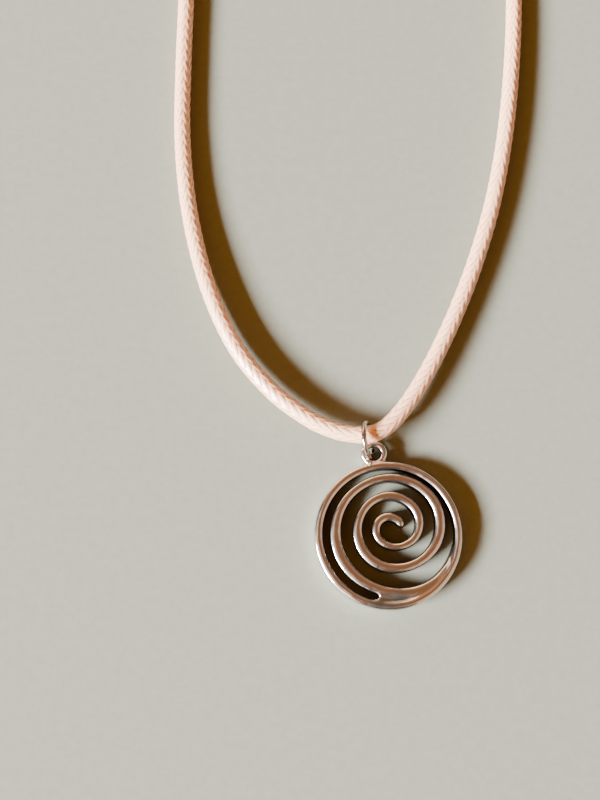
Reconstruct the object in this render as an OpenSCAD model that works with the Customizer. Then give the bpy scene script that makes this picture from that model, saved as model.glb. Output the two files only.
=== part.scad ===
// Spiral pendant of cast silver-coloured metal, on a jump ring and a waxed cord that a barrel clasp closes.
// Everything lies on a flat surface at z = 0. The disc is seen from above, with its ear towards +Y.

/* [Disc] */
// Outside diameter of the disc
disc_d = 17; // [16.8:0.1:17.2]
// Width of the round rim, across its dome
rim_w = 0.95; // [0.85:0.05:1.05]
// Height of the rim's crest over the flat back
disc_h = 2; // [1.9:0.1:2.1]
// Height of the web between the rim and the first turn of the spiral, beside the end of the slot
web_h = 1.35; // [1.2:0.05:1.5]
// Width of the round slot end that is cut in the web
slot_w = 0.8; // [0.7:0.05:0.95]

/* [Ear] */
// Outside diameter of the ear
ear_d = 3; // [2.9:0.05:3]
// Diameter of the hole through the ear
ear_hole_d = 1.6; // [1.55:0.05:1.7]
// Thickness of the ear
ear_h = 0.96; // [0.9:0.02:1]
// Distance from the disc's centre to the ear's centre
ear_reach = 9.45; // [9.4:0.05:9.5]

/* [Jump ring] */
// Outside diameter of the jump ring
ring_d = 4.5; // [4.4:0.05:4.6]
// Diameter of its wire
ring_wire_d = 0.6; // [0.5:0.05:0.65]

/* [Cord and clasp] */
// Diameter of the cord
cord_d = 2; // [1.8:0.1:2]
// Outside diameter of the barrel clasp
clasp_d = 4.5; // [4:0.1:4.5]

/* [Hidden] */
$fn = 72;

disc_r = disc_d / 2;
rim_mid_r = disc_r - rim_w / 2;
foot_bevel = 0.08;

// The ear stands a little to the left of +Y, as the pendant lies
ear_turn = 9;
ear_mid_z = 1.28;
neck_wall = 0.5;
neck_past_middle = 0.3;
ear_at = [-ear_reach * sin(ear_turn), ear_reach * cos(ear_turn)];

// The ring stands in the ear, leaning to the left, and its wire rests on the surface
ring_lean = 18;
ring_turn = 5;
ring_at = [-2.15, 10.9];
ring_mid_r = (ring_d - ring_wire_d) / 2;
ring_mid_z = ring_mid_r * cos(ring_lean) + ring_wire_d / 2;
ring_reach_y = norm([cos(ring_turn), sin(ring_lean) * sin(ring_turn)]);
ring_top_y = ring_at[1] + ring_mid_r * ring_reach_y + ring_wire_d / 2;

// The origin is the middle of the foot of the box round the disc and the ring
origin_y = (ring_top_y - disc_r) / 2;

// The spiral turns clockwise inwards about a point up and to the right of the disc's centre.
// One row each 45 degrees, clockwise from +Y: middle radius, width, height of the crest
spiral_at = [0.54, 0.9];
spiral_from = 105;
spiral_step = 45;
SPIRAL = [
    [7.55, 0.80, 1.70],
    [7.72, 1.15, 1.88],
    [7.14, 1.18, 1.90],
    [6.81, 1.30, 1.90],
    [6.32, 1.07, 1.90],
    [5.83, 0.92, 1.90],
    [5.64, 1.00, 1.90],
    [5.60, 1.11, 1.90],
    [5.30, 1.15, 1.90],
    [4.80, 1.03, 1.90],
    [4.52, 1.17, 1.90],
    [4.22, 1.15, 1.90],
    [3.88, 0.94, 1.88],
    [3.72, 0.95, 1.88],
    [3.51, 1.04, 1.88],
    [3.27, 0.99, 1.88],
    [2.89, 0.90, 1.86],
    [2.40, 0.83, 1.86],
    [2.12, 0.81, 1.86],
    [2.02, 0.86, 1.86],
    [1.77, 0.93, 1.84],
    [1.36, 0.97, 1.82],
    [1.06, 0.98, 1.80],
    [1.00, 0.88, 1.78],
    [0.80, 0.82, 1.76],
];
// The band ends in a round tip, a little before the last row
spiral_end = 1170;
ring_step = 12;
tip_turn = 26;
// How far along the tip each of its last sections lies, from 0 at its root to 1 at its end
TIP = [0, 0.4, 0.7, 0.9, 0.99];
DOME = [150, 120, 90, 60, 30];
dome_h = 0.5;

// The web fills the wedge where the spiral leaves the rim, as far as the end of the slot.
// It starts level with the crests and sinks to a valley
web_top = 1.88;
web_from = 118;
web_to = 197;
slot_end_r = 7.02;
slot_end_turn = 194.5;

// The clasp closes the loop behind the view
clasp_l = 18;
clasp_chamfer = 0.4;
clasp_at = [-4, 165.6];
clasp_z = clasp_d / 2;

// Route of the cord from the clasp's left end, through the ring, to its right end
cord_sides = 8;
cord_gap = 5.2;
low = cord_d / 2 + 0.01;
top = clasp_at[1];
ROUTE = [
    [clasp_at[0] - clasp_l / 2, top, clasp_z],
    [-15.5, top, clasp_z - 0.15],
    [-18.5, top - 0.7, 1.6],
    [-21.5, top - 2.9, 1.15],
    [-23.6, top - 6.5, low],
    [-24.5, top - 11.5, low],
    [-24.6, 143, low],
    [-24.6, 128, low],
    [-24.5, 106, low],
    [-24.3, 84, low],
    [-24.3, 69, low],
    [-24.5, 58, low],
    [-24.4, 48, 1.03],
    [-23.3, 38.5, 1.18],
    [-21, 29.5, 1.5],
    [-17.6, 22, 1.7],
    [-13.3, 16.7, 1.85],
    [-9, 13.4, 1.98],
    [-6, 12, 2.12],
    [-4, 11.55, 2.25],
    [-2.2, 11.48, 2.35],
    [-0.5, 12.1, 2.3],
    [1.2, 13.6, 2.1],
    [3.5, 16.7, 1.85],
    [6, 21.1, 1.65],
    [8.6, 26.6, 1.5],
    [11.1, 33, 1.45],
    [13.3, 40.2, 1.4],
    [15, 48.5, 1.4],
    [16.2, 58, 1.32],
    [16.9, 69, 1.16],
    [17, 84, 1.04],
    [17, 106, low],
    [16.9, 128, low],
    [16.8, 143, low],
    [16.5, top - 11.5, low],
    [15.6, top - 6.5, low],
    [13.5, top - 2.9, 1.15],
    [10.5, top - 0.7, 1.6],
    [clasp_at[0] + clasp_l / 2, top, clasp_z],
];

// A smooth curve through a list of rows: the value at share t past row i
function row(list, i) = list[min(max(i, 0), len(list) - 1)];
function between(list, i, t) =
    let (a = row(list, i - 1), b = row(list, i), c = row(list, i + 1), d = row(list, i + 2))
    (2 * b + (c - a) * t + (2 * a - 5 * b + 4 * c - d) * t ^ 2 + (3 * b - a - 3 * c + d) * t ^ 3) / 2;

// A body swept through sections of the same number of points, closed at both ends
function sweep_faces(rings, sides) = concat(
    [for (i = [0 : rings - 2], j = [0 : sides - 1])
        [i * sides + j, i * sides + (j + 1) % sides, (i + 1) * sides + (j + 1) % sides]],
    [for (i = [0 : rings - 2], j = [0 : sides - 1])
        [i * sides + j, (i + 1) * sides + (j + 1) % sides, (i + 1) * sides + j]],
    [for (j = [1 : sides - 2]) [0, j + 1, j]],
    [for (j = [1 : sides - 2]) let (last = (rings - 1) * sides) [last, last + j, last + j + 1]]
);

module sweep(sections) {
    points = [for (s = sections) each s];
    polyhedron(points = points, faces = sweep_faces(len(sections), len(sections[0])));
}

// The spiral's middle radius, width and height at a turn in degrees
function spiral_row(turn) =
    let (place = (turn - spiral_from) / spiral_step, i = min(floor(place), len(SPIRAL) - 2))
    between(SPIRAL, i, place - i);

function on_spiral(turn, r) = spiral_at + r * [sin(turn), cos(turn)];

// One section of the spiral band: a flat foot with bevels, straight sides and a round crest
function band_outline(w, h) = concat(
    [[-w / 2, foot_bevel], [-w / 2, h - dome_h]],
    [for (a = DOME) [w / 2 * cos(a), h - dome_h + dome_h * sin(a)]],
    [[w / 2, h - dome_h], [w / 2, foot_bevel], [w / 2 - foot_bevel, 0], [foot_bevel - w / 2, 0]]
);

function band_section(turn, width, height) =
    let (r = spiral_row(turn)[0])
    [for (p = band_outline(width, height)) let (q = on_spiral(turn, r + p[0])) [q[0], q[1], p[1]]];

function band_sections() = concat(
    [for (turn = [spiral_from : ring_step : spiral_end - tip_turn])
        let (s = spiral_row(turn)) band_section(turn, s[1], s[2])],
    [for (t = TIP)
        let (turn = spiral_end - tip_turn + tip_turn * t, s = spiral_row(turn), k = sqrt(1 - t * t))
        band_section(turn, s[1] * k + 2.2 * foot_bevel * (1 - k), s[2] - 0.3 * (1 - k))]
);

module rim() {
    rotate_extrude() {
        translate([rim_mid_r, disc_h - rim_w / 2])
            circle(d = rim_w);
        polygon([
            [rim_mid_r - rim_w / 2, foot_bevel],
            [rim_mid_r - rim_w / 2 + foot_bevel, 0],
            [rim_mid_r + rim_w / 2 - foot_bevel, 0],
            [rim_mid_r + rim_w / 2, foot_bevel],
            [rim_mid_r + rim_w / 2, disc_h - rim_w / 2],
            [rim_mid_r - rim_w / 2, disc_h - rim_w / 2],
        ]);
    }
}

module web() {
    difference() {
        sweep([for (share = [0 : 1 / 8 : 1])
            let (
                turn = web_from + (web_to - web_from) * share,
                inner = on_spiral(turn, spiral_row(turn)[0]),
                outer = inner / norm(inner) * rim_mid_r,
                h = web_top + (web_h - web_top) * share
            )
            [[each inner, 0], [each inner, h], [each outer, h], [each outer, 0]]]);
        translate([slot_end_r * sin(slot_end_turn), slot_end_r * cos(slot_end_turn), -1])
            cylinder(d = slot_w, h = web_top + 2);
    }
}

module ear() {
    wall = (ear_d - ear_hole_d) / 2;
    mid_r = (ear_d + ear_hole_d) / 4;
    translate([ear_at[0], ear_at[1], ear_mid_z])
        rotate_extrude() {
            for (side = [-1, 1])
                translate([mid_r, side * (ear_h - wall) / 2])
                    circle(d = wall);
            translate([mid_r - wall / 2, -(ear_h - wall) / 2])
                square([wall, ear_h - wall]);
        }
    // The neck fills the ear's near half down to the foot and joins it to the rim
    translate([ear_at[0], ear_at[1], 0])
        rotate([0, 0, ear_turn])
            difference() {
                cylinder(r = mid_r + neck_wall / 2, h = ear_mid_z);
                translate([0, 0, -1])
                    cylinder(r = mid_r - neck_wall / 2, h = ear_mid_z + 2);
                translate([-ear_d, neck_past_middle, -1])
                    cube([2 * ear_d, ear_d, ear_mid_z + 2]);
            }
}

module pendant() {
    color("silver")
        translate([0, -origin_y, 0]) {
            rim();
            sweep(band_sections());
            web();
            ear();
        }
}

module jump_ring() {
    color("lightgray")
        translate([ring_at[0], ring_at[1] - origin_y, ring_mid_z])
            rotate([0, 0, ring_turn])
                rotate([0, 90 - ring_lean, 0])
                    rotate_extrude()
                        translate([ring_mid_r, 0])
                            circle(d = ring_wire_d);
}

// Each stretch of the route gets a ring about every two and a half diameters
function stretch(i) = max(1, round(norm(ROUTE[i + 1] - ROUTE[i]) / cord_gap));
line = concat(
    [for (i = [0 : len(ROUTE) - 2], k = [0 : stretch(i) - 1]) between(ROUTE, i, k / stretch(i))],
    [ROUTE[len(ROUTE) - 1]]
);

// The cord meets the clasp square, and elsewhere each ring stands across the run of its neighbours
function heading(i) =
    i == 0 || i == len(line) - 1 ? [-1, 0, 0] : unit(line[i + 1] - line[i - 1]);
function unit(v) = v / norm(v);
function cord_section(i) =
    let (ahead = heading(i), side = unit(cross(ahead, [0, 0, 1])), up = cross(side, ahead))
    [for (j = [0 : cord_sides - 1])
        let (a = 360 * j / cord_sides) line[i] + cord_d / 2 * (cos(a) * side + sin(a) * up)];

module cord() {
    color("mistyrose")
        translate([0, -origin_y, 0])
            sweep([for (i = [0 : len(line) - 1]) cord_section(i)]);
}

module clasp() {
    color("lightgray")
        translate([clasp_at[0], clasp_at[1] - origin_y, clasp_z])
            rotate([0, 90, 0])
                rotate_extrude()
                    polygon([
                        [0, -clasp_l / 2],
                        [clasp_d / 2 - clasp_chamfer, -clasp_l / 2],
                        [clasp_d / 2, clasp_chamfer - clasp_l / 2],
                        [clasp_d / 2, clasp_l / 2 - clasp_chamfer],
                        [clasp_d / 2 - clasp_chamfer, clasp_l / 2],
                        [0, clasp_l / 2],
                    ]);
}

pendant();
jump_ring();
cord();
clasp();
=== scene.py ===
# An open spiral pendant of cast silver-coloured metal, on a jump ring and a braided cord.
# It lies on a plain floor, lit by a window at the lower left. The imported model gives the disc's place;
# sizes are in millimetres here, measured from the middle of the disc, and MM turns them to metres.
import math

import bmesh
import bpy
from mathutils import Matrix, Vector


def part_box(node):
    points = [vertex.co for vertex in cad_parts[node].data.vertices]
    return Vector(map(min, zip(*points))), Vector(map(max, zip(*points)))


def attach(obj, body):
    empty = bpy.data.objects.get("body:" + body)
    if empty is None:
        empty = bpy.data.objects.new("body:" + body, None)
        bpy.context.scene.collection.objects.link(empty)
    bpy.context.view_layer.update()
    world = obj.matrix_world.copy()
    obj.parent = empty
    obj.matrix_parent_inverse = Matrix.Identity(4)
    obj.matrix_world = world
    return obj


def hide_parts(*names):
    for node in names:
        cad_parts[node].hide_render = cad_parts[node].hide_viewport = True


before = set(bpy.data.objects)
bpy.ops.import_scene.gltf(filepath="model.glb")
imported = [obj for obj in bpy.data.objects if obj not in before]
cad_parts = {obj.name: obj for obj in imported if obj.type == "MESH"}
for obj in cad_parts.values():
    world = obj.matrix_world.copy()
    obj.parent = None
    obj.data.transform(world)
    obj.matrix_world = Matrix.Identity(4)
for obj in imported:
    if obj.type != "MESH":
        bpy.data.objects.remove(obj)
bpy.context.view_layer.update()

MM = 0.001
disc_r = 8.5
disc_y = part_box("pendant")[0].y / MM + disc_r


# The cord: cotton braided in eight columns over a core and waxed, 2 mm thick. It goes from one end of
# the clasp down the left, through the jump ring and up the right to the clasp's other end.
cord_d = 2.0
cord_off_floor = 0.01
cord_low = cord_d / 2 + cord_off_floor
clasp_l = 18.0
clasp_d = 4.5
clasp_at = (-4.0, 165.6, clasp_d / 2)
cord_top = clasp_at[1]
CORD_ROUTE = [
    (clasp_at[0] - clasp_l / 2, cord_top, clasp_at[2]),
    (-15.5, cord_top, clasp_at[2] - 0.15),
    (-18.5, cord_top - 0.7, 1.6),
    (-21.5, cord_top - 2.9, 1.15),
    (-23.6, cord_top - 6.5, cord_low),
    (-24.5, cord_top - 11.5, cord_low),
    (-24.6, 143, cord_low),
    (-24.6, 128, cord_low),
    (-24.5, 106, cord_low),
    (-24.3, 84, cord_low),
    (-24.3, 69, cord_low),
    (-24.5, 58, cord_low),
    (-24.4, 48, 1.03),
    (-23.3, 38.5, 1.18),
    (-21, 29.5, 1.5),
    (-17.6, 22, 1.7),
    (-13.3, 16.7, 1.85),
    (-9, 13.4, 1.98),
    (-6, 12, 2.12),
    (-4, 11.55, 2.25),
    (-2.2, 11.48, 2.35),
    (-0.5, 12.1, 2.3),
    (1.2, 13.6, 2.1),
    (3.5, 16.7, 1.85),
    (6, 21.1, 1.65),
    (8.6, 26.6, 1.5),
    (11.1, 33, 1.45),
    (13.3, 40.2, 1.4),
    (15, 48.5, 1.4),
    (16.2, 58, 1.32),
    (16.9, 69, 1.16),
    (17, 84, 1.04),
    (17, 106, cord_low),
    (16.9, 128, cord_low),
    (16.8, 143, cord_low),
    (16.5, cord_top - 11.5, cord_low),
    (15.6, cord_top - 6.5, cord_low),
    (13.5, cord_top - 2.9, 1.15),
    (10.5, cord_top - 0.7, 1.6),
    (clasp_at[0] + clasp_l / 2, cord_top, clasp_at[2]),
]
# Points worked out between two rows of the route, and the gap between those that are kept
route_steps = 100
cord_ring_gap = 0.18
cord_sides = 48
stitch_l = 1.4
stitch_slant = 1.125
braid_columns = 8
braid_relief = 0.11
# The braid turns slowly along the cord: one column in this many millimetres, from this place, but no
# further back than the last number of columns
column_turn_l = 70
column_turn_from = 205
column_turn_least = -0.8
# How sharply a yarn's back is rounded, and how fast one set of yarns dives under the other
yarn_back_power = 3.5
yarn_dive = 0.9
CORD_SIZES = {
    "Diameter": cord_d * MM,
    "Sides": cord_sides,
    "Stitch": stitch_l * MM,
    "Slant": stitch_slant,
    "Columns": braid_columns,
    "Relief": braid_relief * MM,
    "Column turn": column_turn_l * MM,
    "Turn from": column_turn_from * MM,
    "Turn least": column_turn_least,
}


def smooth_value(rows, place):
    """The smooth curve through rows of numbers, read at a place between 0 and the last row's number."""
    i = min(int(place), len(rows) - 2)
    t = place - i
    a, b = rows[max(i - 1, 0)], rows[i]
    c, d = rows[i + 1], rows[min(i + 2, len(rows) - 1)]
    return [
        (2 * q + (r - p) * t + (2 * p - 5 * q + 4 * r - s) * t**2 + (3 * q - p - 3 * r + s) * t**3) / 2
        for p, q, r, s in zip(a, b, c, d)
    ]


def even_line(points, gap):
    """Points a gap apart along a close row of points, ends kept."""
    kept = [points[0]]
    walked = 0.0
    for before, after in zip(points, points[1:]):
        walked += (Vector(after) - Vector(before)).length
        if walked >= gap:
            kept.append(after)
            walked = 0.0
    kept[-1] = points[-1]
    return kept


def to_row(point):
    """A point measured from the disc's middle in millimetres, in the row's frame in metres."""
    return (point[0] * MM, (point[1] + disc_y) * MM, point[2] * MM)


def add_object(name, data):
    """A new object with this mesh, light or camera, in the scene."""
    made = bpy.data.objects.new(name, data)
    bpy.context.collection.objects.link(made)
    return made


def line_object(name, points, closed=False, **values):
    """A row of points joined by edges, with one number at each point for every named value."""
    mesh = bpy.data.meshes.new(name)
    ends = [(i, i + 1) for i in range(len(points) - 1)] + ([(len(points) - 1, 0)] if closed else [])
    mesh.from_pydata(points, ends, [])
    for key, numbers in values.items():
        mesh.attributes.new(key, "FLOAT", "POINT").data.foreach_set("value", numbers)
    return add_object(name, mesh)


def add_node(tree, kind, settings=None, inputs=None):
    """Adds a node: settings are its properties, inputs are values or sockets to link from."""
    made = tree.nodes.new(kind)
    for key, value in (settings or {}).items():
        setattr(made, key, value)
    for key, value in (inputs or {}).items():
        if isinstance(value, bpy.types.NodeSocket):
            tree.links.new(value, made.inputs[key])
        else:
            made.inputs[key].default_value = value
    return made


def work_out(tree, sign, *values):
    """One sum on numbers: the output of a Math node."""
    return add_node(tree, "ShaderNodeMath", {"operation": sign}, dict(enumerate(values))).outputs[0]


def vector_sum(tree, sign, first, second):
    """One sum on vectors: a Vector Math node. A scale's second value is its number."""
    key = "Scale" if sign == "SCALE" else 1
    return add_node(tree, "ShaderNodeVectorMath", {"operation": sign}, {0: first, key: second})


def soft_step(tree, value, low, high, start=0.0, end=1.0):
    """Goes smoothly from start to end while a value goes from low to high."""
    return add_node(
        tree,
        "ShaderNodeMapRange",
        {"interpolation_type": "SMOOTHSTEP"},
        {"Value": value, "From Min": low, "From Max": high, "To Min": start, "To Max": end},
    ).outputs[0]


def mix_colours(tree, share, first, second, blend="MIX"):
    """The first colour at a share of 0 and the second at 1."""
    settings = {"data_type": "RGBA", "blend_type": blend}
    return add_node(tree, "ShaderNodeMix", settings, {"Factor": share, 6: first, 7: second}).outputs[2]


def grain(tree, place, size, detail, **values):
    """Noise with blotches of about this size in millimetres; values are its other inputs."""
    inputs = {"Vector": place, "Scale": 1 / (size * MM), "Detail": detail, **values}
    return add_node(tree, "ShaderNodeTexNoise", inputs=inputs).outputs[0]


def bump(tree, height, strength, depth, **values):
    """The shading of a relief of at most this depth in millimetres; values are its other inputs."""
    inputs = {"Strength": strength, "Distance": depth * MM, "Height": height, **values}
    return add_node(tree, "ShaderNodeBump", inputs=inputs).outputs[0]


def keep_values(tree, geometry, sources):
    """Keeps values at each point of a line: rows of kind, name and socket. Gives the node's outputs."""
    kept = add_node(tree, "GeometryNodeCaptureAttribute", {"domain": "POINT"}, {"Geometry": geometry})
    for kind, label, socket in sources:
        kept.capture_items.new(kind, label)
        tree.links.new(socket, kept.inputs[label])
    return kept.outputs


def tube_along(tree, line, profile):
    """The skin of a profile that follows a line, closed at its ends."""
    return add_node(
        tree,
        "GeometryNodeCurveToMesh",
        inputs={"Curve": line, "Profile Curve": profile, "Fill Caps": True},
    ).outputs[0]


def profile_circle(tree, sides, radius):
    """The round line that a tube is drawn from."""
    return add_node(
        tree,
        "GeometryNodeCurvePrimitiveCircle",
        inputs={"Resolution": sides, "Radius": radius},
    ).outputs[0]


def node_group(name, sizes):
    """An empty Geometry Nodes tree with a named input for each size, and its two end nodes."""
    tree = bpy.data.node_groups.new(name, "GeometryNodeTree")
    tree.interface.new_socket("Geometry", in_out="INPUT", socket_type="NodeSocketGeometry")
    for label, value in sizes.items():
        kind = "NodeSocketInt" if isinstance(value, int) else "NodeSocketFloat"
        tree.interface.new_socket(label, in_out="INPUT", socket_type=kind).default_value = value
    tree.interface.new_socket("Material", in_out="INPUT", socket_type="NodeSocketMaterial")
    tree.interface.new_socket("Geometry", in_out="OUTPUT", socket_type="NodeSocketGeometry")
    return tree, add_node(tree, "NodeGroupInput").outputs, add_node(tree, "NodeGroupOutput")


def grow(start, tree, material, **sizes):
    """Runs a tree on an object and puts the result in its place as a plain mesh."""
    modifier = start.modifiers.new(tree.name, "NODES")
    modifier.node_group = tree
    for item in tree.interface.items_tree:
        if item.in_out == "INPUT" and item.name in sizes:
            modifier[item.identifier] = sizes[item.name]
        if item.in_out == "INPUT" and item.name == "Material":
            modifier[item.identifier] = material
    bpy.context.view_layer.update()
    ready = bpy.data.meshes.new_from_object(start.evaluated_get(bpy.context.evaluated_depsgraph_get()))
    ready.name = start.name
    start.modifiers.clear()
    start.data = ready
    return start


def end_tree(tree, geometry, sockets, out):
    """Ends a tree: smooth shading, real geometry and its material."""
    smooth = add_node(tree, "GeometryNodeSetShadeSmooth", inputs={"Geometry": geometry})
    real = add_node(tree, "GeometryNodeRealizeInstances", inputs={"Geometry": smooth.outputs[0]})
    dressed = add_node(
        tree,
        "GeometryNodeSetMaterial",
        inputs={"Geometry": real.outputs[0], "Material": sockets["Material"]},
    )
    tree.links.new(dressed.outputs[0], out.inputs["Geometry"])


def linear(code):
    """An sRGB colour code such as "d8c0a8" as the linear colour that a node takes."""
    parts = [int(code[i : i + 2], 16) / 255 for i in (0, 2, 4)]
    return [p / 12.92 if p <= 0.04045 else ((p + 0.055) / 1.055) ** 2.4 for p in parts] + [1.0]


def new_material(name):
    """A material with one Principled shader, and its tree."""
    made = bpy.data.materials.new(name)
    made.use_nodes = True
    return made, made.node_tree, made.node_tree.nodes["Principled BSDF"]


def braid_tree():
    """The cord's tube, with two sets of yarns that wind round it and cross over in columns."""
    tree, size, out = node_group("braided cord", CORD_SIZES)
    line = add_node(tree, "GeometryNodeMeshToCurve", inputs={"Mesh": size["Geometry"]})
    upright = add_node(
        tree,
        "GeometryNodeSetCurveNormal",
        {"mode": "Z_UP"},
        {"Curve": line.outputs[0]},
    )
    walked = add_node(tree, "GeometryNodeSplineParameter").outputs["Length"]
    measured = keep_values(tree, upright.outputs[0], [("FLOAT", "along", walked)])
    half = work_out(tree, "MULTIPLY", size["Diameter"], 0.5)
    radius = work_out(tree, "SUBTRACT", half, size["Relief"])
    circle = profile_circle(tree, size["Sides"], radius)
    share = work_out(tree, "DIVIDE", add_node(tree, "GeometryNodeInputIndex").outputs[0], size["Sides"])
    turned = keep_values(tree, circle, [("FLOAT", "around", share)])
    tube = tube_along(tree, measured[0], turned[0])
    along, around = measured["along"], turned["around"]
    beyond = work_out(tree, "SUBTRACT", along, size["Turn from"])
    rolled = work_out(tree, "DIVIDE", beyond, size["Column turn"])
    rolled = work_out(tree, "MAXIMUM", rolled, size["Turn least"])
    column = work_out(tree, "MULTIPLY_ADD", around, size["Columns"], rolled)
    steps = work_out(tree, "DIVIDE", along, size["Stitch"])
    lead = work_out(tree, "MULTIPLY", column, size["Slant"])
    weave = work_out(tree, "SINE", work_out(tree, "MULTIPLY", column, math.pi))
    yarns = []
    for winding, dive in (("ADD", yarn_dive), ("SUBTRACT", -yarn_dive)):
        place = work_out(tree, "FRACT", work_out(tree, winding, steps, lead))
        edge = work_out(tree, "ABSOLUTE", work_out(tree, "MULTIPLY_ADD", place, 2.0, -1.0))
        back = work_out(tree, "SUBTRACT", 1.0, work_out(tree, "POWER", edge, yarn_back_power))
        over = work_out(tree, "MULTIPLY_ADD", weave, dive, 0.5)
        shown = work_out(tree, "MINIMUM", work_out(tree, "MAXIMUM", over, 0.0), 1.0)
        yarns.append(work_out(tree, "MULTIPLY", back, shown))
    hump = work_out(tree, "MAXIMUM", *yarns)
    height = work_out(tree, "MULTIPLY", hump, size["Relief"])
    lift = vector_sum(tree, "SCALE", add_node(tree, "GeometryNodeInputNormal").outputs[0], height)
    raised = add_node(
        tree,
        "GeometryNodeSetPosition",
        inputs={"Geometry": tube, "Offset": lift.outputs[0]},
    )
    kept = raised.outputs[0]
    for label, value in (("along", along), ("around", around), ("yarn_height", hump)):
        kept = add_node(
            tree,
            "GeometryNodeStoreNamedAttribute",
            {"data_type": "FLOAT", "domain": "POINT"},
            {"Geometry": kept, "Name": label, "Value": value},
        ).outputs[0]
    end_tree(tree, kept, size, out)
    return tree


# Waxed cotton: the wax closes the yarns, so the light side is almost white and faintly glossy, the
# light that goes into it comes out warm, and the grooves between the yarns are painted darker as shade.
waxed_cotton, tree, shader = new_material("waxed_cotton_braid")
yarn_height = add_node(tree, "ShaderNodeAttribute", {"attribute_name": "yarn_height"})
along = add_node(tree, "ShaderNodeAttribute", {"attribute_name": "along"})
around = add_node(tree, "ShaderNodeAttribute", {"attribute_name": "around"})
fibre_l = 1.2
fibres_around = 40.0
fibre_place = add_node(
    tree,
    "ShaderNodeCombineXYZ",
    inputs={
        0: work_out(tree, "MULTIPLY", along.outputs["Fac"], 1 / (fibre_l * MM)),
        1: work_out(tree, "MULTIPLY", around.outputs["Fac"], fibres_around),
    },
)
fibres = add_node(
    tree,
    "ShaderNodeTexNoise",
    inputs={"Vector": fibre_place.outputs[0], "Scale": 1.0, "Detail": 3.0, "Roughness": 0.6},
).outputs[0]
# Painted shade: the grooves between the yarns take a dark brown in place of the yarns' own tone
yarn_back_unshaded = soft_step(tree, yarn_height.outputs["Fac"], 0.15, 0.65)
yarn_tone = mix_colours(tree, fibres, linear("f4bb94"), linear("ffd0b0"))
tone = mix_colours(tree, yarn_back_unshaded, linear("a8683f"), yarn_tone)
tree.links.new(tone, shader.inputs["Base Color"])
tree.links.new(bump(tree, fibres, strength=0.3, depth=0.03), shader.inputs["Normal"])
shader.inputs["Roughness"].default_value = 0.35
shader.inputs["IOR"].default_value = 1.45
shader.inputs["Subsurface Weight"].default_value = 0.5
shader.inputs["Subsurface Radius"].default_value = (1.0, 0.6, 0.35)
shader.inputs["Subsurface Scale"].default_value = 0.34 * MM
shader.inputs["Coat Weight"].default_value = 0.9
shader.inputs["Coat Roughness"].default_value = 0.28

route_places = range(route_steps * (len(CORD_ROUTE) - 1) + 1)
close_route = [smooth_value(CORD_ROUTE, i / route_steps) for i in route_places]
cord_line = [to_row(point) for point in even_line(close_route, cord_ring_gap)]
cord = grow(line_object("braided_cord", cord_line), braid_tree(), waxed_cotton, **CORD_SIZES)
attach(cord, "root")
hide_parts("cord")


# The clasp: a plain barrel, turned from rod in two halves that screw together, satin all over.
# Each end has a shallow mouth where the cord is glued in. It lies outside the photograph's view.
clasp_seam = 0.12
clasp_round = 0.4
# The corner between two faces is cut back by this much at its middle
clasp_corner = 0.12
clasp_mouth_r = 1.1
clasp_mouth_depth = 0.01
clasp_sides = 64
clasp_sharp = 35
clasp_r = clasp_d / 2
clasp_end = clasp_l / 2
BARREL_HALF = [
    (clasp_mouth_r, clasp_end - clasp_mouth_depth),
    (clasp_r - clasp_round, clasp_end),
    (clasp_r - clasp_corner, clasp_end - clasp_corner),
    (clasp_r, clasp_end - clasp_round),
    (clasp_r, clasp_seam),
    (clasp_r - clasp_seam, clasp_seam / 2),
]
BARREL_SIDE = BARREL_HALF + [(r, -x) for r, x in reversed(BARREL_HALF)]

satin_metal, tree, shader = new_material("turned_satin_zinc_alloy")
turning = add_node(tree, "ShaderNodeTexCoord")
turned_rings = add_node(
    tree,
    "ShaderNodeTexWave",
    {"wave_type": "BANDS", "bands_direction": "X"},
    {"Vector": turning.outputs["Object"], "Scale": 1 / (0.6 * MM), "Distortion": 0.6, "Detail": 2.0},
)
turned_bump = bump(tree, turned_rings.outputs[1], strength=0.2, depth=0.01)
tree.links.new(turned_bump, shader.inputs["Normal"])
shader.inputs["Base Color"].default_value = linear("cfc8c0")
shader.inputs["Metallic"].default_value = 1.0
shader.inputs["Roughness"].default_value = 0.32

barrel_mesh = bpy.data.meshes.new("barrel_clasp")
shape = bmesh.new()
rings = []
for r, x in BARREL_SIDE:
    ring = []
    for i in range(clasp_sides):
        angle = 2 * math.pi * i / clasp_sides
        point = (clasp_at[0] + x, clasp_at[1] + r * math.cos(angle), clasp_at[2] + r * math.sin(angle))
        ring.append(shape.verts.new(to_row(point)))
    rings.append(ring)
for first, second in zip(rings, rings[1:]):
    for i in range(clasp_sides):
        j = (i + 1) % clasp_sides
        shape.faces.new((first[i], first[j], second[j], second[i]))
shape.faces.new(rings[0])
shape.faces.new(rings[-1])
bmesh.ops.recalc_face_normals(shape, faces=shape.faces)
shape.to_mesh(barrel_mesh)
shape.free()
barrel = add_object("barrel_clasp", barrel_mesh)
barrel_mesh.materials.append(satin_metal)
barrel_mesh.shade_smooth()
barrel_mesh.set_sharp_from_angle(angle=math.radians(clasp_sharp))
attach(barrel, "root")
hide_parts("clasp")


# The pendant: one casting in a zinc alloy, plated and darkened, then tumbled until its crests shine.
# A domed rim, a spiral band that leaves it at the lower right, the web between them and the ear.
rim_w = 0.92
rim_w_change = 0.05
rim_thin_turn = 60
rim_h = 2.0
# The rim's bar stays this far inside the disc's radius
rim_inset = 0.05
# The rim's crest stands nearer its inner side round this turn, by this much at most
rim_lean = 0.16
rim_lean_turn = 232
spiral_at = (0.54, 0.9)
spiral_from = 105
spiral_step = 45
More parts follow.
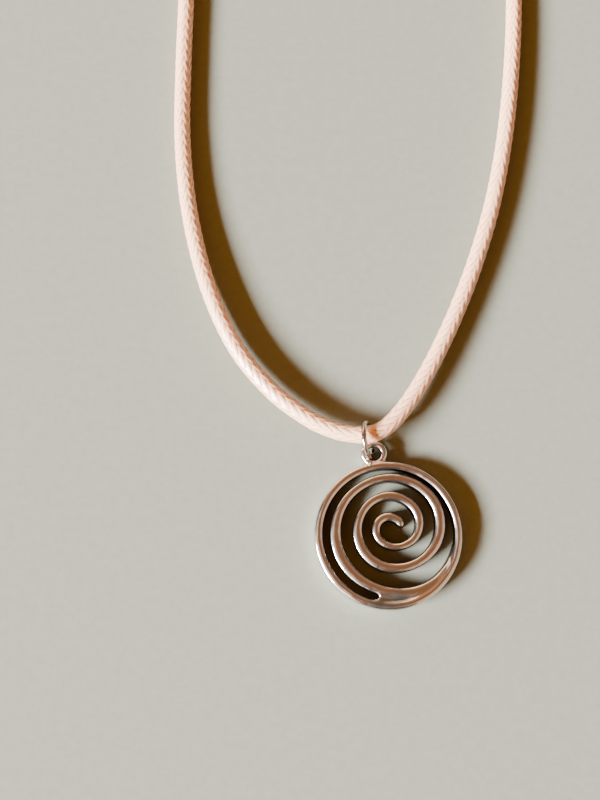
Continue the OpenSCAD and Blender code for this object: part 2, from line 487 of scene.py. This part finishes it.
# Middle radius, width and height of the crest, one row each 45 degrees, clockwise from the top
SPIRAL = [
    (7.55, 0.80, 1.70),
    (7.72, 1.15, 1.88),
    (7.14, 1.18, 1.90),
    (6.81, 1.30, 1.90),
    (6.32, 1.07, 1.90),
    (5.83, 0.92, 1.90),
    (5.64, 1.00, 1.90),
    (5.60, 1.11, 1.90),
    (5.30, 1.15, 1.90),
    (4.80, 1.03, 1.90),
    (4.52, 1.17, 1.90),
    (4.22, 1.15, 1.90),
    (3.88, 0.94, 1.88),
    (3.72, 0.95, 1.88),
    (3.51, 1.04, 1.88),
    (3.27, 0.99, 1.88),
    (2.89, 0.90, 1.86),
    (2.40, 0.83, 1.86),
    (2.12, 0.81, 1.86),
    (2.02, 0.86, 1.86),
    (1.77, 0.93, 1.84),
    (1.36, 0.97, 1.82),
    (1.06, 0.98, 1.80),
    (1.00, 0.88, 1.78),
    (0.80, 0.82, 1.76),
]
spiral_end = 1170
tip_turn = 26
tip_drop = 0.35
# The skin narrows the band a little, so its bar is wider by this much
band_extra = 0.045
dome_h = 0.42
# Degrees between the points of the bars' lines
line_step = 2
web_from = 112
web_to = 197
web_columns = 20
web_rows = 70
slot_end_r = 7.0
slot_end_turn = 195.3
slot_r = 0.36
slot_lip = 0.42
valley = 0.3
valley_turn = 170
valley_at = (1.2, -7.35)
# The valley fades out to both sides, over a right angle divided by this
valley_narrowing = 1.8
ear_turn = 9
ear_reach = 9.5
ear_mid_z = 1.28
ear_h = 0.98
ear_r = 1.55
ear_hole_r = 0.76
# The neck under the ear reaches this many degrees to each side, round the hole's near half
neck_reach = 100
neck_step = 5
neck_thinner = 0.12
neck_dome_h = 0.1
# The cells of the skin over the whole casting
casting_grain = 0.095
# The web's top is eased then: how many times, above which height and up to which turn
web_ease = 8
web_ease_z = 1.35
web_ease_to = 199
# The same round the slot's end: how many times, above which height and within which radius
slot_ease = 5
slot_ease_z = 0.5
slot_ease_r = 1.3


def section_tree():
    """A bar along a line, domed above, with its own width, foot, crest and lean at each point."""
    tree, size, out = node_group(
        "cast bar",
        {"Sides": 28, "Dome": 0.5, "Dome power": 0.65, "Heel": 0.1, "Heel power": 0.35},
    )
    line = add_node(tree, "GeometryNodeMeshToCurve", inputs={"Mesh": size["Geometry"]})
    sources = [
        ("VECTOR", "middle", add_node(tree, "GeometryNodeInputPosition").outputs[0]),
        ("VECTOR", "ahead", add_node(tree, "GeometryNodeInputTangent").outputs[0]),
    ]
    for label in ("width", "foot", "crest", "lean"):
        kind = {"data_type": "FLOAT"}
        named = add_node(tree, "GeometryNodeInputNamedAttribute", kind, {"Name": label})
        sources.append(("FLOAT", label, named.outputs[0]))
    kept = keep_values(tree, line.outputs[0], sources)
    # Every point gets its own place below, so the circle's radius doesn't show
    circle = profile_circle(tree, size["Sides"], 0.1)
    index = add_node(tree, "GeometryNodeInputIndex").outputs[0]
    half_step = work_out(tree, "DIVIDE", work_out(tree, "ADD", index, 0.5), size["Sides"])
    turned = keep_values(tree, circle, [("FLOAT", "turn", half_step)])
    bar = tube_along(tree, kept[0], turned[0])
    angle = work_out(tree, "MULTIPLY", turned["turn"], 2 * math.pi)
    cosine, sine = work_out(tree, "COSINE", angle), work_out(tree, "SINE", angle)
    above = work_out(tree, "GREATER_THAN", sine, 0.0)
    below = work_out(tree, "SUBTRACT", 1.0, above)
    square = work_out(
        tree,
        "MULTIPLY",
        work_out(tree, "SIGN", cosine),
        work_out(tree, "POWER", work_out(tree, "ABSOLUTE", cosine), size["Heel power"]),
    )
    across = work_out(
        tree,
        "ADD",
        work_out(tree, "MULTIPLY", above, cosine),
        work_out(tree, "MULTIPLY", below, square),
    )
    rise = work_out(tree, "POWER", work_out(tree, "MAXIMUM", sine, 0.0), size["Dome power"])
    reach = work_out(
        tree,
        "MULTIPLY_ADD",
        work_out(tree, "MULTIPLY", kept["width"], 0.5),
        across,
        work_out(tree, "MULTIPLY", kept["lean"], rise),
    )
    dome_z = work_out(
        tree,
        "ADD",
        work_out(tree, "SUBTRACT", kept["crest"], size["Dome"]),
        work_out(tree, "MULTIPLY", size["Dome"], rise),
    )
    heel_z = work_out(
        tree,
        "ADD",
        work_out(tree, "ADD", kept["foot"], size["Heel"]),
        work_out(tree, "MULTIPLY", size["Heel"], sine),
    )
    height = work_out(
        tree,
        "ADD",
        work_out(tree, "MULTIPLY", above, dome_z),
        work_out(tree, "MULTIPLY", below, heel_z),
    )
    side = vector_sum(tree, "CROSS_PRODUCT", kept["ahead"], (0, 0, 1))
    shift = vector_sum(tree, "SCALE", side.outputs[0], reach)
    lift = add_node(tree, "ShaderNodeCombineXYZ", inputs={2: height})
    level = vector_sum(tree, "ADD", kept["middle"], shift.outputs[0])
    there = vector_sum(tree, "ADD", level.outputs[0], lift.outputs[0])
    placed = add_node(
        tree,
        "GeometryNodeSetPosition",
        inputs={"Geometry": bar, "Position": there.outputs[0]},
    )
    end_tree(tree, placed.outputs[0], size, out)
    return tree


def on_circle(turn, r, middle=(0, 0)):
    """The point at a clockwise turn from the top, r from the middle."""
    angle = math.radians(turn)
    return (middle[0] + r * math.sin(angle), middle[1] + r * math.cos(angle), 0)


def spiral_row(turn):
    """The band's middle radius, width and crest at a turn."""
    return smooth_value(SPIRAL, (turn - spiral_from) / spiral_step)


# Cast zinc alloy, silver plated and oxidised: tumbling leaves the crests and the outside bright and a
# little uneven, while the black stays on the walls of the cuts and in the valley.
antique_silver, tree, shader = new_material("cast_silver_plate_oxidised")
place = add_node(tree, "ShaderNodeTexCoord").outputs["Object"]
parts = add_node(tree, "ShaderNodeSeparateXYZ", inputs={0: place})
up_disc = work_out(tree, "SUBTRACT", parts.outputs[1], disc_y * MM)
on_disc = add_node(tree, "ShaderNodeCombineXYZ", inputs={0: parts.outputs[0], 1: up_disc})
from_middle = vector_sum(tree, "DISTANCE", on_disc.outputs[0], (0, 0, 0)).outputs["Value"]
facing = add_node(tree, "ShaderNodeNewGeometry").outputs["Normal"]
facing_up = add_node(tree, "ShaderNodeSeparateXYZ", inputs={0: facing}).outputs[2]
# Worn bright: what is high and faces up, and the disc's outer wall
worn_height = soft_step(tree, parts.outputs[2], 1.25 * MM, 1.6 * MM)
worn_outside = soft_step(tree, from_middle, 8.05 * MM, 8.3 * MM)
upward = soft_step(tree, facing_up, 0.3, 0.7)
rubbed = work_out(tree, "MAXIMUM", work_out(tree, "MULTIPLY", worn_height, upward), worn_outside)
# Where the black stays: middle, squeeze in X, radius of its even part and of its edge, the heights
# between which it ends, and how dark it is
SHELTERED = [
    (valley_at, 1, 0.5, 2.3, 1.6, 2.1, 0.9),
    (on_circle(182, 7.6), 0.34, 0.35, 1.0, 5.0, 6.0, 0.65),
    (on_circle(-ear_turn, ear_reach), 1, 0.8, 0.95, 5.0, 6.0, 0.85),
]
sheltered = 0.0
for middle, squeeze, near, far, lowest, highest, share in SHELTERED:
    squeezed = vector_sum(tree, "MULTIPLY", place, (squeeze, 1, 0))
    target = (middle[0] * squeeze * MM, (middle[1] + disc_y) * MM, 0)
    away = vector_sum(tree, "DISTANCE", squeezed.outputs[0], target).outputs["Value"]
    near_spot = soft_step(tree, away, near * MM, far * MM, 1.0, 0.0)
    low_spot = soft_step(tree, parts.outputs[2], lowest * MM, highest * MM, share, 0.0)
    sheltered = work_out(tree, "MAXIMUM", sheltered, work_out(tree, "MULTIPLY", near_spot, low_spot))
worn = work_out(tree, "MULTIPLY", rubbed, work_out(tree, "SUBTRACT", 1.0, sheltered))
shine = mix_colours(tree, worn, linear("120e0c"), linear("ebe3dc"))
tree.links.new(shine, shader.inputs["Base Color"])
rough = add_node(
    tree,
    "ShaderNodeMapRange",
    inputs={"Value": worn, "To Min": 0.36, "To Max": 0.17},
)
tree.links.new(rough.outputs[0], shader.inputs["Roughness"])
# The tumbled casting isn't quite even, so what it mirrors wavers along the bands, over fine pits
swell = bump(tree, grain(tree, place, size=1.8, detail=1.0), strength=0.8, depth=0.12)
pits = grain(tree, place, size=0.5, detail=4.0, Roughness=0.55)
cast_bump = bump(tree, pits, strength=0.2, depth=0.025, Normal=swell)
tree.links.new(cast_bump, shader.inputs["Normal"])
shader.inputs["Metallic"].default_value = 1.0

bar_tree = section_tree()
circle_turns = range(0, 360, line_step)
towards_thin = [math.cos(math.radians(turn - rim_thin_turn)) for turn in circle_turns]
towards_lean = [max(0, math.cos(math.radians(turn - rim_lean_turn))) for turn in circle_turns]
rim_widths = [rim_w - rim_w_change * share for share in towards_thin]
rim_radii = [disc_r - rim_inset - width / 2 for width in rim_widths]
rim = grow(
    line_object(
        "rim",
        [on_circle(turn, r) for turn, r in zip(circle_turns, rim_radii)],
        closed=True,
        width=rim_widths,
        foot=[0.0] * len(circle_turns),
        crest=[rim_h] * len(circle_turns),
        lean=[rim_lean * share**3 for share in towards_lean],
    ),
    bar_tree,
    antique_silver,
    Dome=dome_h,
)

tip_from = spiral_end - tip_turn
band_steps = (tip_from - spiral_from) // line_step
band_turns = [spiral_from + line_step * i for i in range(band_steps)]
# The tip is round: its points come closer together at its end
tip_shares = [i / 12 for i in range(12)] + [0.96, 0.99]
band_turns += [tip_from + tip_turn * share for share in tip_shares]
band_rows = [spiral_row(turn) for turn in band_turns]
narrow = [1.0] * band_steps + [math.sqrt(1 - share**2) for share in tip_shares]
band = grow(
    line_object(
        "band",
        [on_circle(turn, row[0], spiral_at) for turn, row in zip(band_turns, band_rows)],
        width=[(row[1] + band_extra) * k for row, k in zip(band_rows, narrow)],
        foot=[0.0] * len(band_rows),
        crest=[row[2] - tip_drop * (1 - k) for row, k in zip(band_rows, narrow)],
    ),
    bar_tree,
    antique_silver,
    Dome=dome_h,
)

ear_middle = on_circle(-ear_turn, ear_reach)
ear_line_r = (ear_r + ear_hole_r) / 2
ear_w = ear_r - ear_hole_r
ear = grow(
    line_object(
        "ear",
        [on_circle(turn, ear_line_r, ear_middle) for turn in circle_turns],
        closed=True,
        width=[ear_w] * len(circle_turns),
        foot=[ear_mid_z - ear_h / 2] * len(circle_turns),
        crest=[ear_mid_z + ear_h / 2] * len(circle_turns),
    ),
    bar_tree,
    antique_silver,
    Dome=ear_w / 2,
    Heel=ear_w / 2,
    **{"Dome power": 1.0, "Heel power": 1.0},
)
neck_middle = 180 - ear_turn
neck_turns = range(neck_middle - neck_reach, neck_middle + neck_reach + 1, neck_step)
neck = grow(
    line_object(
        "neck",
        [on_circle(turn, ear_line_r, ear_middle) for turn in neck_turns],
        width=[ear_w - neck_thinner] * len(neck_turns),
        foot=[0.0] * len(neck_turns),
        crest=[ear_mid_z] * len(neck_turns),
    ),
    bar_tree,
    antique_silver,
    Dome=neck_dome_h,
)

# The web joins the crests of band and rim: level at first, then a shallow valley, and the round end
# of the slot, where its edge rolls over
slot_middle = Vector(on_circle(slot_end_turn, slot_end_r))
web_mesh = bpy.data.meshes.new("web")
shape = bmesh.new()


def across_web(turn, across):
    """The point between the crest of the band, at 0, and the crest of the rim, at 1."""
    inner = Vector(on_circle(turn, spiral_row(turn)[0], spiral_at))
    return inner.lerp(inner.normalized() * (disc_r - rim_w / 2), across)


grid = [[] for i in range(web_rows + 1)]
for j in range(web_columns + 1):
    across = j / web_columns
    off = across_web(slot_end_turn, across).length - slot_end_r
    last_turn = web_to
    if abs(off) < slot_r:
        last_turn = slot_end_turn - math.degrees(math.sqrt(slot_r**2 - off**2) / slot_end_r)
    for i, row in enumerate(grid):
        share = i / web_rows
        turn = web_from + (last_turn - web_from) * share
        point = across_web(turn, across)
        band_crest = spiral_row(turn)[2]
        top = band_crest + (rim_h - band_crest) * across
        from_valley = min(90, valley_narrowing * abs(turn - valley_turn))
        depth = valley * math.cos(math.radians(from_valley)) ** 2
        top -= depth * math.sin(math.pi * across) ** 2
        roll = 1 - min(1, max(0, (point - slot_middle).length - slot_r) / slot_lip)
        top -= slot_lip * (1 - math.sqrt(1 - roll**2))
        row.append((shape.verts.new((point.x, point.y, 0)), shape.verts.new((point.x, point.y, top))))
for first, second in zip(grid, grid[1:]):
    for a, b, c, d in zip(first, first[1:], second[1:], second):
        shape.faces.new((a[0], b[0], c[0], d[0]))
        shape.faces.new((a[1], b[1], c[1], d[1]))
for row in (grid[0], grid[-1]):
    for a, b in zip(row, row[1:]):
        shape.faces.new((a[0], b[0], b[1], a[1]))
for j in (0, -1):
    for first, second in zip(grid, grid[1:]):
        shape.faces.new((first[j][0], second[j][0], second[j][1], first[j][1]))
bmesh.ops.recalc_face_normals(shape, faces=shape.faces)
shape.to_mesh(web_mesh)
shape.free()
web = add_object("web", web_mesh)

# The parts run together as one casting: a fine skin over all of them, softened where they meet
whole = bmesh.new()
for part in (rim, band, ear, neck, web):
    whole.from_mesh(part.data)
    bpy.data.objects.remove(part)
pendant_mesh = bpy.data.meshes.new("cast_pendant")
whole.to_mesh(pendant_mesh)
whole.free()
pendant = add_object("cast_pendant", pendant_mesh)
skin = pendant.modifiers.new("skin", "REMESH")
skin.mode = "VOXEL"
skin.voxel_size = casting_grain
soften = pendant.modifiers.new("soften", "SMOOTH")
soften.factor = 0.5
soften.iterations = 3
bpy.context.view_layer.update()
ready = bpy.data.meshes.new_from_object(pendant.evaluated_get(bpy.context.evaluated_depsgraph_get()))
pendant.modifiers.clear()
casting = bmesh.new()
casting.from_mesh(ready)
web_top = []
slot_edge = []
for vertex in casting.verts:
    x, y, z = vertex.co
    if z > web_ease_z and web_from < math.degrees(math.atan2(x, y)) % 360 < web_ease_to:
        web_top.append(vertex)
    if z > slot_ease_z and math.hypot(x - slot_middle.x, y - slot_middle.y) < slot_ease_r:
        slot_edge.append(vertex)
every_way = {"use_axis_x": True, "use_axis_y": True, "use_axis_z": True}
for group in [web_top] * web_ease + [slot_edge] * slot_ease:
    bmesh.ops.smooth_vert(casting, verts=group, factor=0.5, **every_way)
casting.to_mesh(ready)
casting.free()
for vertex in ready.vertices:
    vertex.co = to_row((vertex.co.x, vertex.co.y, max(vertex.co.z, 0.0)))
ready.materials.clear()
ready.materials.append(antique_silver)
ready.shade_smooth()
pendant.data = ready
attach(pendant, "root")
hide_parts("pendant")


# The jump ring: round wire, plated and bright, bent to a ring and closed on a butt joint. It goes
# through the ear and round the cord, and stands leaning to the left with its wire on the floor.
ring_wire_r = 0.3
ring_r = 1.95
ring_lean = 18
ring_turn = 5
ring_at = (-2.15, 10.9)
ring_joint = 1.2
ring_joint_turn = 40
ring_steps = 144
ring_sharp = 50

bright_wire, tree, shader = new_material("drawn_wire_silver_plate")
wire_place = add_node(tree, "ShaderNodeTexCoord").outputs["Object"]
drawn = grain(tree, wire_place, size=0.25, detail=3.0)
tree.links.new(bump(tree, drawn, strength=0.12, depth=0.01), shader.inputs["Normal"])
shader.inputs["Base Color"].default_value = linear("c9bfb4")
shader.inputs["Metallic"].default_value = 1.0
shader.inputs["Roughness"].default_value = 0.13


def wire_tree():
    """Round wire along a line, with flat cut ends."""
    tree, size, out = node_group("round wire", {"Radius": 0.0003, "Sides": 24})
    line = add_node(tree, "GeometryNodeMeshToCurve", inputs={"Mesh": size["Geometry"]})
    circle = profile_circle(tree, size["Sides"], size["Radius"])
    end_tree(tree, tube_along(tree, line.outputs[0], circle), size, out)
    return tree


lean = math.radians(ring_lean)
turn = math.radians(ring_turn)
along_floor = Vector((-math.sin(turn), math.cos(turn), 0))
up_ring = Vector((-math.sin(lean) * math.cos(turn), -math.sin(lean) * math.sin(turn), math.cos(lean)))
ring_middle = Vector((ring_at[0], ring_at[1], ring_r * math.cos(lean) + ring_wire_r))
ring_line = []
for i in range(ring_steps + 1):
    angle = math.radians(ring_joint_turn + ring_joint / 2 + (360 - ring_joint) * i / ring_steps)
    ring_line.append(ring_middle + ring_r * (math.cos(angle) * along_floor + math.sin(angle) * up_ring))
jump_ring = grow(
    line_object("wire_jump_ring", [to_row(point) for point in ring_line]),
    wire_tree(),
    bright_wire,
    Radius=ring_wire_r * MM,
)
jump_ring.data.set_sharp_from_angle(angle=math.radians(ring_sharp))
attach(jump_ring, "root")
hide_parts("jump_ring")


# The floor it lies on: plain, pale and matt, faintly mottled. It is the stage, no part of the object.
matt_floor, tree, shader = new_material("matt_painted_floor")
floor_place = add_node(tree, "ShaderNodeTexCoord").outputs["Object"]
mottle = grain(tree, floor_place, size=1.0, detail=5.0, Roughness=0.7)
floor_tone = mix_colours(tree, mottle, linear("71746b"), linear("82867a"))
tree.links.new(floor_tone, shader.inputs["Base Color"])
shader.inputs["Roughness"].default_value = 0.9
shader.inputs["Specular IOR Level"].default_value = 0.2

floor_half = 2000 * MM
floor_mesh = bpy.data.meshes.new("floor")
floor_corners = [(x * floor_half, y * floor_half, 0) for x, y in ((-1, -1), (1, -1), (1, 1), (-1, 1))]
floor_mesh.from_pydata(floor_corners, [], [(0, 1, 2, 3)])
floor = add_object("floor", floor_mesh)
floor_mesh.materials.append(matt_floor)


# The light: a low, wide window at the left gives the soft shadows to the right, and the room fills
# them. The room is warm: bright walls beyond the clasp and beside the window, a duller orange one at
# the lower right, dim brown between them, and orange-brown overhead.
window_from = 246
window_height = 27
window_distance = 3000
window_wide = 1330
window_tall = 700
window_watts = 842
window = bpy.data.lights.new("window", "AREA")
window.shape = "RECTANGLE"
window.size = window_wide * MM
window.size_y = window_tall * MM
window.energy = window_watts
lamp = add_object("window", window)
raised = math.radians(window_height)
lamp_x, lamp_y, _ = on_circle(window_from, window_distance * math.cos(raised))
lamp.location = to_row((lamp_x, lamp_y, window_distance * math.sin(raised)))
away = Vector(lamp.location) - Vector(to_row((0, 0, 0)))
lamp.rotation_euler = away.to_track_quat("Z", "Y").to_euler()

# Each patch of the room: turn clockwise from +Y, height angle, radius of its even middle and of its
# soft edge in degrees, light of its colour
ROOM_PATCHES = [
    (120, 30, 20, 48, (1.0, 0.66, 0.45)),
    (88, 22, 8, 24, (0.75, 0.5, 0.46)),
    (30, 48, 8, 30, (0.42, 0.25, 0.16)),
    (50, 18, 10, 26, (0.1, 0.05, 0.028)),
    (180, 30, 14, 32, (0.11, 0.07, 0.058)),
    (298, 36, 16, 30, (0.08, 0.036, 0.016)),
    (270, 30, 6, 15, (0.32, 0.22, 0.19)),
    (322, 24, 8, 22, (2.6, 1.9, 1.25)),
    (353, 22, 8, 22, (2.8, 2.0, 1.3)),
    (230, 28, 12, 30, (2.8, 2.3, 2.1)),
    (262, 66, 10, 27, (1.1, 0.84, 0.72)),
    (345, 58, 8, 24, (0.6, 0.26, 0.11)),
    (15, 82, 8, 30, (0.29, 0.12, 0.045)),
]
room = bpy.data.worlds.new("room")
room.use_nodes = True
tree = room.node_tree
outlook = add_node(tree, "ShaderNodeTexCoord").outputs["Generated"]
height = add_node(tree, "ShaderNodeSeparateXYZ", inputs={0: outlook}).outputs[2]
walls = add_node(tree, "ShaderNodeValToRGB", inputs={0: height})
walls.color_ramp.elements[0].position = 0.0
walls.color_ramp.elements[0].color = (0.16, 0.085, 0.05, 1)
walls.color_ramp.elements[1].position = 1.0
walls.color_ramp.elements[1].color = (0.22, 0.1, 0.05, 1)
room_colour = walls.outputs[0]
for turn, up, middle, edge, light in ROOM_PATCHES:
    x, y, _ = on_circle(turn, math.cos(math.radians(up)))
    towards = vector_sum(tree, "DOT_PRODUCT", outlook, (x, y, math.sin(math.radians(up))))
    edge_cosine, middle_cosine = math.cos(math.radians(edge)), math.cos(math.radians(middle))
    share = soft_step(tree, towards.outputs["Value"], edge_cosine, middle_cosine)
    room_colour = mix_colours(tree, share, room_colour, (*light, 1))
# What the room adds to matt surfaces is warmer than what the metal mirrors
ray = add_node(tree, "ShaderNodeLightPath").outputs
fill = mix_colours(tree, ray["Is Diffuse Ray"], room_colour, (0.97, 0.61, 0.125, 1), "MULTIPLY")
# Beyond the floor the camera sees a plain pale backdrop in place of the room
backdrop = mix_colours(tree, ray["Is Camera Ray"], fill, (0.88, 0.84, 0.69, 1))
tree.links.new(backdrop, tree.nodes["Background"].inputs[0])
bpy.context.scene.world = room


# The camera: a plain 50 mm view from just over the disc, tilted 10.8 degrees from straight down.
# It looks a little towards the clasp, so the near walls at the lower left of the disc show.
camera_tilt = 10.8
camera_at = (-10.03, -8.59, 128.78)
camera_lens = 50
camera_film = 36
camera_nearest = 5
view = bpy.data.cameras.new("camera")
view.lens = camera_lens
view.sensor_fit = "VERTICAL"
view.sensor_height = camera_film
view.clip_start = camera_nearest * MM
camera = add_object("camera", view)
camera.location = to_row(camera_at)
camera.rotation_euler = (math.radians(camera_tilt), 0, 0)
bpy.context.scene.camera = camera
